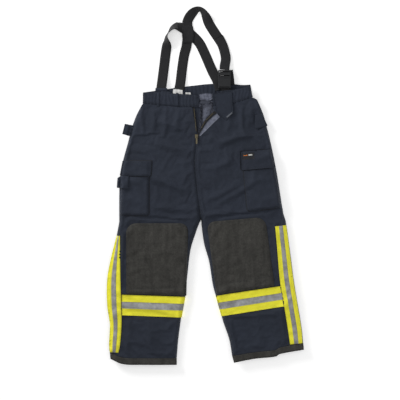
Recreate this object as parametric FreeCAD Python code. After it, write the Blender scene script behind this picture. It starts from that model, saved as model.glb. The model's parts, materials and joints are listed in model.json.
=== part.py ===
"""Bunker pants with braces, lying on their back, front up: one STEP per sewn or moulded piece.

Millimetres. +X is to the viewer's right, +Y runs from the hems to the braces, +Z is up out of
the front face. The origin is under the middle of the garment, on the surface that it lies on.
"""
import FreeCAD, Part
import math
import os

V = FreeCAD.Vector
os.makedirs("parts", exist_ok=True)

# ---- heights above the surface that the garment lies on ----
Z_MID = 13.0          # side seams, half way up the flattened tube
Z_TOP = 26.0          # top of the front outer shell
SKIN = 2.0            # outer shell with its moisture barrier
LINER = 3.0           # quilted thermal liner
WALL = 4.0            # width of the turned side edges
LINER_INSET = 4.5     # the liner stays this far inside the side edges
CLEAR = 1.0           # half of the gap left at each knee fold

BAND_FRONT = (19.0, 29.0)
BAND_BACK = (0.0, 8.5)

PAD_THICK = 8.0
POCKET_THICK = 8.0
FLAP_THICK = 3.0
POCKET_SKIN = 1.5
FREE = 0.5            # gap under each free flap
TRIM_THICK = 1.2
STRIPE_THICK = 0.6
STRIPE_WIDTH = 25.0
CUFF_HEIGHT = 25.0
CUFF_WALL = 3.0
CUFF_PROUD = 1.0

WEB_THICK = 2.0
TAB_THICK = 2.5       # take-up strap and the tabs that the braces hang from
LOOP_THICK = 2.0      # belt loops
LABEL_THICK = 1.0
ANCHOR_TOP = BAND_BACK[1] + 2.8
LEFT_TAB = (22.0, 26.0)
RIGHT_TAB = (16.0, 18.5)
CROSS_PATCH_LOW = 4.2
FACING = (Z_TOP - 7.0, Z_TOP - 5.5)
TAPE_THICK = 1.2
HOOK_THICK = 1.0
WAIST_TAB_LIFT = 2.0

# ---- seams and edges in plan, each from the waist towards the hem ----
LEFT_HIP = [(-240, 314), (-262, 275), (-281, 225), (-296, 168), (-315, 99), (-327, 38),
            (-330, -34), (-330, -137)]
RIGHT_HIP = [(181, 338), (197, 330), (221, 275), (235, 225), (252, 155), (273, 50),
             (291, -63), (298, -105)]
FRONT_SEAM = [(-31, 186), (-41, 100), (-36, 23), (-17, -134)]
BACK_SEAM = [(-17, 338), (-17, -134)]
LEFT_FLY = [(-50, 301), (-31, 186)]
RIGHT_FLY = [(26, 303), (33, 286), (-2, 251), (-31, 186)]
LEFT_BAND_SEAM = [(-240, 314), (-86, 301), (-50, 301)]
RIGHT_BAND_SEAM = [(26, 303), (105, 314), (181, 338)]
BACK_TOP = [(-240, 358), (-160, 369), (-128, 374), (-50, 384), (21, 391), (111, 389), (171, 388)]

LEFT_SHIN_OUT = [(-330, -137), (-342, -199), (-363, -283), (-376, -359), (-376, -455),
                 (-366, -531), (-369, -626), (-366, -637)]
LEFT_SHIN_IN = [(-22, -137), (-36, -176), (-57, -244), (-69, -340), (-78, -424), (-90, -485),
                (-104, -588), (-110, -659)]
LEFT_HEM = [(-363, -661), (-317, -681), (-243, -684), (-110, -684)]
RIGHT_SHIN_OUT = [(298, -105), (307, -134), (323, -244), (338, -359), (353, -451),
                  (368, -542), (374, -601)]
RIGHT_SHIN_IN = [(-16, -132), (-15, -153), (-5, -222), (14, -290), (29, -382), (49, -451),
                 (68, -520), (91, -588), (102, -651)]
RIGHT_HEM = [(109, -676), (186, -661), (269, -652), (283, -643), (376, -626)]

LEFT_FOLD_Y = -137.0
RIGHT_FOLD = [(-15, -132), (298, -105)]

# ---- braces: centre line stations (x, y, underside z, width) ----
BRACE_LONG = [(54, 376, 8.8, 38), (44, 405, 8.7, 38), (25, 443, 1, 38), (-6, 520, 0, 38),
              (-25, 550, 0, 38), (-55, 581, 0, 38), (-82, 604, 0, 36), (-109, 619, 0, 26),
              (-127, 611, 0, 16), (-141, 584, 0, 12), (-146, 558, 0, 16), (-145, 527, 0, 30),
              (-152, 481, 0, 38), (-159, 435, 2, 38), (-165, 398, 11, 38), (-169, 366, 18.5, 38)]
BRACE_CROSS = [(-100, 378, 8.8, 42), (-93, 420, 4, 38), (-86, 474, 0, 38), (-78, 515, 0, 38),
               (-68, 540, 2.2, 38), (-66, 596, 2.2, 38), (-63, 626, 2.2, 38), (-50, 651, 0, 36),
               (-30, 669.4, 0, 28), (-10, 676.5, 0, 16), (2, 657, 0, 24), (13, 630, 0, 32),
               (32, 604, 0, 36), (48, 577, 0, 36), (58, 556, 0, 36)]
BRACE_FRONT_END = [(54, 562, 2.5, 36), (66, 538, 3, 38), (76, 508, 4, 38), (78, 485, 6, 38),
                   (74, 462, 11, 38), (72.5, 444, 16, 38)]
LONG_SPLIT = 7        # station where a rear brace ends and the front brace starts
CROSS_SPLIT = 6
BRACE_TAIL = [(86, 442, 9, 38), (93, 384, 9, 38)]
CROSS_PATCH = [(-87, 612), (-48, 612), (-44, 585), (-48, 548), (-86, 548), (-90, 580)]

# ---- quick-release buckle ----
BUCKLE_X = 72.5
BUCKLE_WIDTH = 48.0
BUCKLE_Z = (11.5, 24.5)
SOCKET_Y = (374.0, 412.0)
PLUG_Y = (413.0, 443.0)
BUCKLE_WALL = 3.0
ARM_REACH = 30.0
ARM_WIDTH = 6.0
RUN = 0.5             # clearance of the buckle's sliding parts

# ---- fly zip ----
ZIP_BOTTOM = (-34.0, 190.0)
ZIP_LEFT_TOP = (-44.0, 296.0)
TOOTH = (2.4, 2.0, 2.4)
TOOTH_PITCH = 4.0
TOOTH_START = 5


def shifted(points, dx=0.0, dy=0.0):
    return [(x + dx, y + dy) for x, y in points]


def face(points):
    """A flat face at z 0 from corners in plan."""
    corners = [V(x, y, 0) for x, y in points]
    return Part.Face(Part.makePolygon(corners + [corners[0]]))


def slab(points, low, high):
    """A plate with that plan outline, between two heights."""
    plate = face(points)
    plate.translate(V(0, 0, low))
    return plate.extrude(V(0, 0, high - low))


def rounded_slab(points, radii, low, high):
    """A plate whose corners are rounded, each by its own radius; 0 leaves it sharp."""
    edges, n = [], len(points)
    starts, ends = [], []
    for i, (corner, radius) in enumerate(zip(points, radii)):
        here = V(corner[0], corner[1], 0)
        before = (V(*points[i - 1], 0) - here).normalize()
        after = (V(*points[(i + 1) % n], 0) - here).normalize()
        if radius == 0:
            starts.append(here)
            ends.append(here)
            continue
        half = before.getAngle(after) / 2
        reach = radius / math.tan(half)
        middle = here + (before + after).normalize() * (radius / math.sin(half) - radius)
        starts.append(here + before * reach)
        ends.append(here + after * reach)
        edges.append((i, Part.Arc(starts[-1], middle, ends[-1]).toShape()))
    arcs = dict(edges)
    outline = []
    for i in range(n):
        if i in arcs:
            outline.append(arcs[i])
        outline.append(Part.LineSegment(ends[i], starts[(i + 1) % n]).toShape())
    plate = Part.Face(Part.Wire(outline))
    plate.translate(V(0, 0, low))
    return plate.extrude(V(0, 0, high - low))


def joined(*solids):
    whole = solids[0]
    for other in solids[1:]:
        whole = whole.fuse(other)
    return whole.removeSplitter()


def edge_wall(side, inward, low, high):
    """The turned edge along a side, WALL wide towards the inside."""
    return slab(side + shifted(side, inward)[::-1], low, high)


def ribbon(stations, first=0, last=None, thick=WEB_THICK):
    """A webbing strap: a closed faceted solid along stations (x, y, underside z, width)."""
    rings = []
    for i, (x, y, z, width) in enumerate(stations):
        a = stations[max(i - 1, 0)]
        b = stations[min(i + 1, len(stations) - 1)]
        along = V(b[0] - a[0], b[1] - a[1], 0).normalize()
        side = V(-along.y, along.x, 0) * (width / 2)
        low, up = V(x, y, z), V(0, 0, thick)
        rings.append([low - side, low + side, low + side + up, low - side + up])
    rings = rings[first:last]
    faces = []
    for near, far in zip(rings, rings[1:]):
        for k in range(4):
            a, b, c, d = near[k], near[(k + 1) % 4], far[(k + 1) % 4], far[k]
            for corners in ((a, b, c), (a, c, d)):
                faces.append(Part.Face(Part.makePolygon([*corners, corners[0]])))
    for ring in (rings[0], rings[-1]):
        faces.append(Part.Face(Part.makePolygon(ring + [ring[0]])))
    solid = Part.Solid(Part.Shell(faces))
    if solid.Volume < 0:
        solid.reverse()
    return solid


def strip_between(left, right):
    """The plan outline between two edges that run the same way."""
    return left + right[::-1]


def export(name, shape):
    """Writes one node, after checking that each of its solids is sound."""
    for solid in shape.Solids:
        if not solid.isValid() or solid.Volume <= 0:
            raise ValueError(f"{name} is not a sound solid")
    shape.exportStep(f"parts/{name}.step")


def upper_body():
    """Outer shell and thermal liner from the waistband to the knee folds."""
    left_fold = [(-330, LEFT_FOLD_Y + CLEAR), (-19, LEFT_FOLD_Y + CLEAR)]
    right_fold = shifted(RIGHT_FOLD, 0, CLEAR)
    left_hip = LEFT_HIP[:-1] + [left_fold[0]]
    right_hip = RIGHT_HIP[:-1] + [right_fold[1]]
    front_seam = FRONT_SEAM[:-1] + [(-18, -130)]
    back_seam = [BACK_SEAM[0], (-18, -130)]

    for name, hip, fold_end, inward, seam, fly, band in (
        ("left", left_hip, left_fold[1], WALL, front_seam, LEFT_FLY, LEFT_BAND_SEAM),
        ("right", right_hip, right_fold[0], -WALL, front_seam, RIGHT_FLY, RIGHT_BAND_SEAM),
    ):
        inset = math.copysign(LINER_INSET, inward)
        band_run = band if name == "left" else band[::-1]
        front = hip + [fold_end] + seam[::-1] + fly[::-1][1:] + band_run[1:-1][::-1]
        export(f"{name}_front_shell", joined(
            slab(front, Z_TOP - SKIN, Z_TOP), edge_wall(hip, inward, Z_MID, Z_TOP - SKIN)))
        back_top = [(-17, 338)]
        back = hip + [fold_end] + back_seam[::-1][:-1] + back_top
        export(f"{name}_back_shell", joined(
            slab(back, 0, SKIN), edge_wall(hip, inward, SKIN, Z_MID)))
        lining = shifted(hip, inset) + [fold_end] + back_seam[::-1][:-1] + back_top
        back_liner = slab(lining, SKIN, SKIN + LINER)
        fly_inset = shifted(fly, -26 if name == "left" else 10)[::-1][1:]
        front_lining = shifted(hip, inset) + [fold_end] + seam[::-1][:-1] + fly_inset
        front_lining += band_run[1:-1][::-1]
        front_liner = slab(front_lining, Z_TOP - SKIN - LINER, Z_TOP - SKIN)
        export(f"{name}_liner", Part.makeCompound([back_liner, front_liner]))


def lower_leg(name, outer, inner, hem, top_out, top_in):
    """Shell and liner of one leg below the knee fold, and the bound cuff at its hem."""
    sign = 1 if name == "left" else -1
    outer = [top_out] + outer[1:]
    inner = [top_in] + inner[1:]
    cuff_top = [outer[-1]] + shifted(hem[1:-1] if name == "left" else hem[1:-1][::-1],
                                     0, CUFF_HEIGHT) + [inner[-1]]
    outline = outer + cuff_top[1:-1] + inner[::-1]
    out_wall, in_wall = WALL * sign, -WALL * sign
    export(f"{name}_shin_front_shell", joined(
        slab(outline, Z_TOP - SKIN, Z_TOP),
        edge_wall(outer, out_wall, Z_MID, Z_TOP - SKIN),
        edge_wall(inner, in_wall, Z_MID, Z_TOP - SKIN)))
    back = joined(
        slab(outline, 0, SKIN),
        edge_wall(outer, out_wall, SKIN, Z_MID),
        edge_wall(inner, in_wall, SKIN, Z_MID))
    lining = (shifted(outer, LINER_INSET * sign) + cuff_top[1:-1]
              + shifted(inner, -LINER_INSET * sign)[::-1])
    export(f"{name}_shin_liner", Part.makeCompound([
        slab(lining, SKIN, SKIN + LINER),
        slab(lining, Z_TOP - SKIN - LINER, Z_TOP - SKIN)]))

    hem_run = hem if name == "left" else hem[::-1]
    band = cuff_top + hem_run[::-1]
    inner_top = shifted(cuff_top, 0, 1)
    inner_hem = shifted(hem_run, 0, -1)
    inner_top = ([(inner_top[0][0] + CUFF_WALL * sign, inner_top[0][1])] + inner_top[1:-1]
                 + [(inner_top[-1][0] - CUFF_WALL * sign, inner_top[-1][1])])
    inner_hem = ([(inner_hem[0][0] + CUFF_WALL * sign, inner_hem[0][1])] + inner_hem[1:-1]
                 + [(inner_hem[-1][0] - CUFF_WALL * sign, inner_hem[-1][1])])
    top = Z_TOP + CUFF_PROUD
    export(f"{name}_cuff", slab(band, 0, top).cut(
        slab(inner_top + inner_hem[::-1], CUFF_WALL, top - CUFF_WALL)))
    return back


def trim_band(name, corners, back):
    """The wide reflective band round one shin: front, inner edge and back, and its stripe."""
    sign = 1 if name == "left" else -1
    out_top, in_top, in_low, out_low = corners
    wrap = TRIM_THICK * sign
    edge = [in_top, (in_top[0] + wrap, in_top[1]), (in_low[0] + wrap, in_low[1]), in_low]
    strip = joined(
        slab(corners, Z_TOP, Z_TOP + TRIM_THICK),
        slab(edge, 0, Z_TOP + TRIM_THICK),
        slab(corners, 0, TRIM_THICK))
    export(f"{name}_knee_trim", strip)
    export(f"{name}_shin_back_shell", back.cut(slab(corners, 0, TRIM_THICK)))
    width = math.hypot(out_top[0] - out_low[0], out_top[1] - out_low[1])
    share = (width - STRIPE_WIDTH) / 2 / width

    def between(a, b, t):
        return (a[0] + (b[0] - a[0]) * t, a[1] + (b[1] - a[1]) * t)

    stripe = [between(out_top, out_low, share), between(in_top, in_low, share),
              between(in_top, in_low, 1 - share), between(out_top, out_low, 1 - share)]
    top = Z_TOP + TRIM_THICK
    export(f"{name}_knee_stripe", slab(stripe, top, top + STRIPE_THICK))


def side_trim(name, outer, inner):
    """The narrower reflective strip down the outside of one shin, and its stripe."""
    export(f"{name}_side_trim", slab(strip_between(outer, inner), Z_TOP, Z_TOP + TRIM_THICK))
    third = [((2 * a[0] + b[0]) / 3, (2 * a[1] + b[1]) / 3) for a, b in zip(outer, inner)]
    two_thirds = [((a[0] + 2 * b[0]) / 3, (a[1] + 2 * b[1]) / 3) for a, b in zip(outer, inner)]
    top = Z_TOP + TRIM_THICK
    export(f"{name}_side_stripe", slab(strip_between(third, two_thirds), top,
                                       top + STRIPE_THICK))


def legs():
    """Both shins with their knee pads and reflective trim."""
    left_top = LEFT_FOLD_Y - CLEAR
    left_back = lower_leg("left", LEFT_SHIN_OUT, LEFT_SHIN_IN, LEFT_HEM,
                          (-330, left_top), (-22, left_top))
    right_back = lower_leg("right", RIGHT_SHIN_OUT, RIGHT_SHIN_IN, RIGHT_HEM,
                           (298, -105 - CLEAR), (-16, -132 - CLEAR))
    trim_band("left", [(-320, -416), (-78, -424), (-92, -503), (-320, -494)], left_back)
    trim_band("right", [(287, -383), (40, -420), (61.5, -498), (300, -460)], right_back)
    side_trim("left",
              [(-340, -191), (-363, -283), (-376, -359), (-376, -455), (-366, -531),
               (-369, -610), (-366, -637)],
              [(-327, -191), (-326, -283), (-325, -359), (-322, -455), (-321, -531),
               (-327, -610), (-333, -637)])
    side_trim("right",
              [(309, -150), (321, -244), (336, -359), (351, -451), (366, -542), (371, -601)],
              [(266, -155), (274, -244), (284, -359), (299, -451), (314, -542), (323, -606)])
    export("left_knee_pad", rounded_slab(
        [(-303, -143), (-66, -143), (-73, -421), (-303, -413)], [38, 30, 4, 8],
        Z_TOP, Z_TOP + PAD_THICK))
    export("right_knee_pad", rounded_slab(
        [(4, -138), (228, -119), (264, -383), (42, -416)], [30, 38, 8, 4],
        Z_TOP, Z_TOP + PAD_THICK))


def waist():
    """The elasticated waistband, its loops and tabs, and the labels inside it."""
    front_left = [(-240, 315), (-86, 302), (-24, 302), (-22, 345), (-52, 349), (-126, 354),
                  (-144, 362), (-193, 361), (-238, 357)]
    export("left_front_waistband", slab(front_left, *BAND_FRONT))
    front_right = [(27, 304), (105, 315), (181, 339), (178, 352), (171, 388), (150, 379),
                   (110, 368), (60, 363), (26, 350)]
    export("right_front_waistband", slab(front_right, *BAND_FRONT))
    back = BACK_TOP + [(181, 339), (-17, 339), (-240, 315)]
    ends = (slab([(-240, 315), (-231, 315), (-231, 357), (-238, 357)], BAND_BACK[1],
                 BAND_FRONT[0]),
            slab([(181, 339), (172, 339), (163, 384), (171, 388)], BAND_BACK[1],
                 BAND_FRONT[0]))
    export("back_waistband", joined(slab(back, *BAND_BACK), *ends))
    export("waist_take_up_strap", slab([(-187, 308), (-103, 303), (-103, 348), (-187, 356)],
                                       BAND_FRONT[1], BAND_FRONT[1] + TAB_THICK))
    top = BAND_FRONT[1] + TAB_THICK
    loops = [slab([(x, 303), (x + 9, 303), (x + 9, 355), (x, 355)], top, top + LOOP_THICK)
             for x in (-184, -112)]
    export("belt_loops", Part.makeCompound(loops))
    export("left_brace_tab", slab([(-192, 361.1), (-145, 362.1), (-147, 374), (-191, 374)],
                                  *LEFT_TAB))
    export("right_brace_tab", slab([(58, 350), (97, 352), (97, 373.7), (58, 373.7)], *RIGHT_TAB))
    labels = [slab([(-127, 344), (-88, 344), (-88, 371), (-124, 371)],
                   ANCHOR_TOP, ANCHOR_TOP + LABEL_THICK),
              slab([(-78, 346), (-54, 346), (-58, 358), (-76, 358)],
                   ANCHOR_TOP, ANCHOR_TOP + LABEL_THICK)]
    export("care_labels", Part.makeCompound(labels))
    export("brace_anchor_patches", Part.makeCompound([
        slab([(-124, 342), (-76, 342), (-78, 369), (-123, 369)], BAND_BACK[1], ANCHOR_TOP),
        slab([(38, 342), (78, 342), (76, 366), (36, 366)], BAND_BACK[1], ANCHOR_TOP)]))


def pockets():
    """Side cargo pockets, their flaps, and the tabs along the side seams."""
    low = Z_TOP
    high = Z_TOP + POCKET_THICK
    left_bag = rounded_slab(
        [(-216, 96), (-216, -114), (-328, -114), (-316, 96)], [0, 12, 6, 0], low, high)
    left_room = slab([(-220, 97), (-220, -110), (-324, -110), (-312, 97)], low,
                     high - POCKET_SKIN)
    export("left_cargo_pocket", left_bag.cut(left_room))
    right_bag = rounded_slab(
        [(138, 131), (251, 141), (291, -84), (160, -98)], [0, 0, 6, 12], low, high)
    right_room = slab([(142, 140), (247, 148), (286.5, -80), (164, -93.5)], low,
                      high - POCKET_SKIN)
    export("right_cargo_pocket", right_bag.cut(right_room))
    flap_low = high + FREE
    export("left_cargo_flap", rounded_slab(
        [(-317, 96), (-205, 96), (-208, 36), (-328, 38)], [0, 0, 8, 5],
        flap_low, flap_low + FLAP_THICK))
    export("right_cargo_flap", rounded_slab(
        [(135, 131), (254, 141), (265, 70), (136, 59)], [0, 0, 5, 8],
        flap_low, flap_low + FLAP_THICK))
    export("flap_label", slab([(141, 99), (187, 103), (184, 128), (139, 124)],
                              flap_low + FLAP_THICK, flap_low + FLAP_THICK + LABEL_THICK))
    export("left_hip_tab", slab([(-308, 237), (-276, 231), (-285, 189), (-318, 198)],
                                Z_TOP, Z_TOP + FLAP_THICK))
    export("left_pocket_tab", rounded_slab(
        [(-322, 37.9), (-292, 37.4), (-295, -13), (-339, -7), (-336, 30)], [0, 0, 3, 3, 3],
        flap_low, flap_low + FLAP_THICK))
    export("right_hip_flap", rounded_slab(
        [(190, 270), (217, 274), (238, 229), (190, 215)], [3, 3, 4, 4],
        Z_TOP + FREE, Z_TOP + FREE + FLAP_THICK))


def tooth_row(path, level):
    """One row of zip teeth along a path, from its first tooth clear of the slider."""
    teeth = []
    skip = TOOTH_START
    for a, b in zip(path, path[1:]):
        run = V(b[0] - a[0], b[1] - a[1], 0)
        angle = math.degrees(math.atan2(run.y, run.x))
        for k in range(skip, int(run.Length / TOOTH_PITCH)):
            tooth = Part.makeBox(TOOTH[1], TOOTH[0], TOOTH[2], V(0, -TOOTH[0] / 2, 0))
            tooth.rotate(V(0, 0, 0), V(0, 0, 1), angle)
            at = run * (k * TOOTH_PITCH / run.Length)
            tooth.translate(V(a[0] + at.x, a[1] + at.y, level))
            teeth.append(tooth)
        skip = 1
    return Part.makeCompound(teeth)


def fly():
    """The open zip fly with its facings, and the waist tab turned back beside it."""
    export("fly_facing", slab([(-50, 301), (-20, 301), (-24, 240), (-31, 194), (-33, 194)],
                              *FACING))
    export("fly_lining_strip", slab([(-25, 192), (7, 244), (44, 277), (54, 263), (-20, 190)],
                                    Z_TOP, Z_TOP + HOOK_THICK))
    low, high = Z_TOP - TAPE_THICK, Z_TOP
    export("left_zip_tape", slab([(-49.5, 300), (-42, 300), (-28, 192), (-31.5, 189)],
                                 low, high))
    export("right_zip_tape", slab([(-30, 190), (-2, 251), (33, 286), (43, 279), (6, 245), (-26, 192)],
                                  Z_TOP, Z_TOP + TAPE_THICK))
    export("left_zip_teeth", tooth_row([ZIP_BOTTOM, ZIP_LEFT_TOP], high))
    export("right_zip_teeth", tooth_row([(-25, 205), (-1, 248), (31, 280)], Z_TOP + TAPE_THICK))

    # the slider straddles the left row of teeth: top plate, bottom plate and bridge
    x, y = ZIP_BOTTOM
    top = high + TOOTH[2]
    slider = joined(
        Part.makeBox(11, 14, 1.6, V(x - 6, y - 8, top + 0.8)),
        Part.makeBox(3, 9, 3.2, V(x - 1.5, y - 5, top + 2.4)))
    crown = Part.makeCylinder(1.0, 3.2, V(x - 1.6, y - 3.5, top + 4.0), V(1, 0, 0))
    export("zip_slider", slider.cut(crown))
    pin = Part.makeCylinder(0.95, 2.4, V(x - 1.2, y - 3.5, top + 4.0), V(1, 0, 0))
    # the pull hangs from a pin through the slider's crown and lies flat towards the hem
    cheek = 0.9
    cheeks = [Part.makeBox(cheek, 5.4, 1.8, V(x + side, y - 7.9, top + 3.1))
              for side in (-1.5 - 0.2 - cheek, 1.5 + 0.2)]
    axle = Part.makeCylinder(0.95, 3.4, V(x - 1.7, y - 3.5, top + 4.0), V(1, 0, 0))
    tab = rounded_slab([(x - 3, y - 7.4), (x - 3, y - 30), (x + 3, y - 30), (x + 3, y - 7.4)],
                       [0, 2.5, 2.5, 0], top + 3.1, top + 4.9)
    export("zip_pull", joined(tab, *cheeks, axle))

    tab_low = BAND_FRONT[1] + WAIST_TAB_LIFT
    export("waist_tab", rounded_slab(
        [(31, 352), (100, 362), (105, 275), (78, 250), (43, 285)], [3, 5, 4, 4, 3],
        tab_low, tab_low + FLAP_THICK))
    export("waist_tab_hook_strip", slab([(84, 258), (104, 276), (102, 284), (78, 264)],
                                        tab_low + FLAP_THICK,
                                        tab_low + FLAP_THICK + HOOK_THICK))


def braces():
    """Webbing braces that cross at a sewn patch."""
    export("left_front_brace", ribbon(BRACE_LONG, first=LONG_SPLIT))
    export("right_rear_brace", ribbon(BRACE_LONG, last=LONG_SPLIT + 1))
    export("left_rear_brace", ribbon(BRACE_CROSS, last=CROSS_SPLIT + 1))
    export("right_front_brace", ribbon(BRACE_CROSS, first=CROSS_SPLIT))
    export("right_brace_end", ribbon(BRACE_FRONT_END))
    export("right_brace_tail", ribbon(BRACE_TAIL))
    export("cross_patch", slab(CROSS_PATCH, CROSS_PATCH_LOW,
                               CROSS_PATCH_LOW + WEB_THICK))


def buckle():
    """The quick-release buckle: a socket on the waist tab and a plug on the brace."""
    left = BUCKLE_X - BUCKLE_WIDTH / 2
    low, high = BUCKLE_Z
    y0, y1 = SOCKET_Y
    deep = high - low
    body = Part.makeBox(BUCKLE_WIDTH, y1 - y0, deep, V(left, y0, low))
    body = body.makeFillet(2.5, [e for e in body.Edges
                                 if abs(e.tangentAt(e.FirstParameter).y) > 0.9])
    cavity = Part.makeBox(BUCKLE_WIDTH - 2 * BUCKLE_WALL, 31, deep - 2 * BUCKLE_WALL,
                          V(left + BUCKLE_WALL, y1 - 31, low + BUCKLE_WALL))
    windows = [Part.makeBox(BUCKLE_WALL + 2, 16, 4.6, V(x, y0 + 12, low + 4.2))
               for x in (left - 1, left + BUCKLE_WIDTH - BUCKLE_WALL - 1)]
    slot = Part.makeBox(40, 3.2, deep + 2, V(BUCKLE_X - 20, y0 + 2, low - 1))
    socket = body.cut(cavity).cut(slot)
    for window in windows:
        socket = socket.cut(window)
    export("buckle_socket", socket)

    p0, p1 = PLUG_Y
    base = Part.makeBox(BUCKLE_WIDTH, p1 - p0, deep, V(left, p0, low))
    base = base.makeFillet(2.5, [e for e in base.Edges
                                 if abs(e.tangentAt(e.FirstParameter).y) > 0.9])
    for y in (p0 + 6, p1 - 9):
        base = base.cut(Part.makeBox(40, 4, deep + 2, V(BUCKLE_X - 20, y, low - 1)))
    inside = BUCKLE_WALL + RUN
    arm_z = low + inside
    arm_deep = deep - 2 * inside
    arms = [Part.makeBox(ARM_WIDTH, ARM_REACH, arm_deep, V(x, p0 - ARM_REACH, arm_z))
            for x in (left + inside, left + BUCKLE_WIDTH - inside - ARM_WIDTH)]
    guide = Part.makeBox(8, ARM_REACH - 4, arm_deep, V(BUCKLE_X - 4, p0 - ARM_REACH + 4, arm_z))
    export("buckle_plug", joined(base, *arms, guide))


def box_of_all():
    """The whole garment's box, read back from the written nodes."""
    whole = FreeCAD.BoundBox()
    for name in sorted(os.listdir("parts")):
        whole.add(Part.read(f"parts/{name}").BoundBox)
    return whole


for stale in os.listdir("parts"):
    os.remove(os.path.join("parts", stale))
upper_body()
legs()
waist()
pockets()
fly()
braces()
buckle()
print(len(os.listdir("parts")), "nodes,", box_of_all())
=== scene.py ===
"""Looks of the bunker pants: draped shells, quilted lining, webbing braces and reflective trim."""
import json
import math

import bpy
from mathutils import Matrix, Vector, geometry, noise
from mathutils.bvhtree import BVHTree


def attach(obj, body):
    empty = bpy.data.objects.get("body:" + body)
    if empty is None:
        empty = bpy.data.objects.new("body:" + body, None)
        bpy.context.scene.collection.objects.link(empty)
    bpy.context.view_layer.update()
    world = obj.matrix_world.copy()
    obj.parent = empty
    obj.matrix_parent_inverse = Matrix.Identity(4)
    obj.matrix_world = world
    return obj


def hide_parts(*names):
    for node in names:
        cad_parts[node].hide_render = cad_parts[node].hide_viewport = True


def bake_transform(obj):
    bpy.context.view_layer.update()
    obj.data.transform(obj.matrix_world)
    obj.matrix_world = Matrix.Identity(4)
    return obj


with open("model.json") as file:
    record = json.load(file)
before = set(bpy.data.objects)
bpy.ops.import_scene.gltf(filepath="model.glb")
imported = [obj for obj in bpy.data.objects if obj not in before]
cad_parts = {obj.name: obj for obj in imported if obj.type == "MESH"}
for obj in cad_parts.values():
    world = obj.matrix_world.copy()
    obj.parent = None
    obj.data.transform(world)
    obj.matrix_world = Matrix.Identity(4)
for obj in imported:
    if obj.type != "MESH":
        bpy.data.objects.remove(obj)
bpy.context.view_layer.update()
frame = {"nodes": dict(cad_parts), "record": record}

MM = 0.001
GRID = 8 * MM             # spacing of the cloth's points
FINE = 4.5 * MM           # spacing on small panels
CLOTH_THICK = 1.6 * MM
SIDE_RIM = 16 * MM        # how far in the side seams' rounding reaches
EDGE_REACH = 16 * MM      # how far beyond a sheet's edge a piece still finds that edge
TOP_Z = 26 * MM           # height of the front panels
MID_Z = 13 * MM           # height of the side seams
ABOVE_ALL = 0.3
CAMERA_HEIGHT = 6.0
VIEW_WIDTH = 1.528        # how much of the garment's plane the view spans
VIEW_CENTRE = (-0.021, -0.054)
SENSOR = 36.0
FLOOR_Z = -0.6 * MM
PLAIN_WHITE = (1, 1, 1, 1)

NODES = frame["nodes"]


# ---------------------------------------------------------------- camera, light and floor

def camera_and_light():
    """A long lens straight above the garment, with soft light from overhead and the upper left."""
    data = bpy.data.cameras.new("camera")
    cam = bpy.data.objects.new("camera", data)
    bpy.context.scene.collection.objects.link(cam)
    data.sensor_width = SENSOR
    data.lens = SENSOR * (CAMERA_HEIGHT - TOP_Z) / VIEW_WIDTH
    data.clip_end = 50.0
    cam.location = (*VIEW_CENTRE, CAMERA_HEIGHT)
    bpy.context.scene.camera = cam

    for name, place, size, power in (
        ("key", (-2.2, 2.0, 1.5), 1.2, 62.0),
        ("fill", (2.0, -1.2, 2.0), 2.2, 12.0),
        ("top", (0.2, 0.4, 3.6), 2.6, 16.0),
    ):
        lamp = bpy.data.lights.new(name, "AREA")
        lamp.size = size
        lamp.energy = power
        obj = bpy.data.objects.new(name, lamp)
        obj.location = place
        obj.rotation_euler = (-Vector(place)).to_track_quat("-Z", "Y").to_euler()
        bpy.context.scene.collection.objects.link(obj)
    world = bpy.data.worlds.new("studio")
    world.use_nodes = True
    sky = world.node_tree.nodes["Background"]
    sky.inputs["Color"].default_value = PLAIN_WHITE
    sky.inputs["Strength"].default_value = 0.34
    bpy.context.scene.world = world
    bpy.context.scene.view_settings.view_transform = "Standard"

    bpy.ops.mesh.primitive_plane_add(size=14, location=(0, 0, FLOOR_Z))
    floor = bpy.context.object
    floor.name = "floor"
    mat = bpy.data.materials.new("floor")
    mat.use_nodes = True
    shader = mat.node_tree.nodes["Principled BSDF"]
    for key, value in (("Base Color", (0.95, 0.95, 0.95, 1)), ("Roughness", 0.9),
                       ("Emission Color", PLAIN_WHITE), ("Emission Strength", 0.42)):
        shader.inputs[key].default_value = value
    floor.data.materials.append(mat)


# ---------------------------------------------------------------- materials

def linear(r, g, b):
    """A screen colour, 0 to 255, as the shader's linear colour."""
    def one(v):
        v = v / 255
        return v / 12.92 if v <= 0.04045 else ((v + 0.055) / 1.055) ** 2.4
    return (one(r), one(g), one(b), 1)


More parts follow.
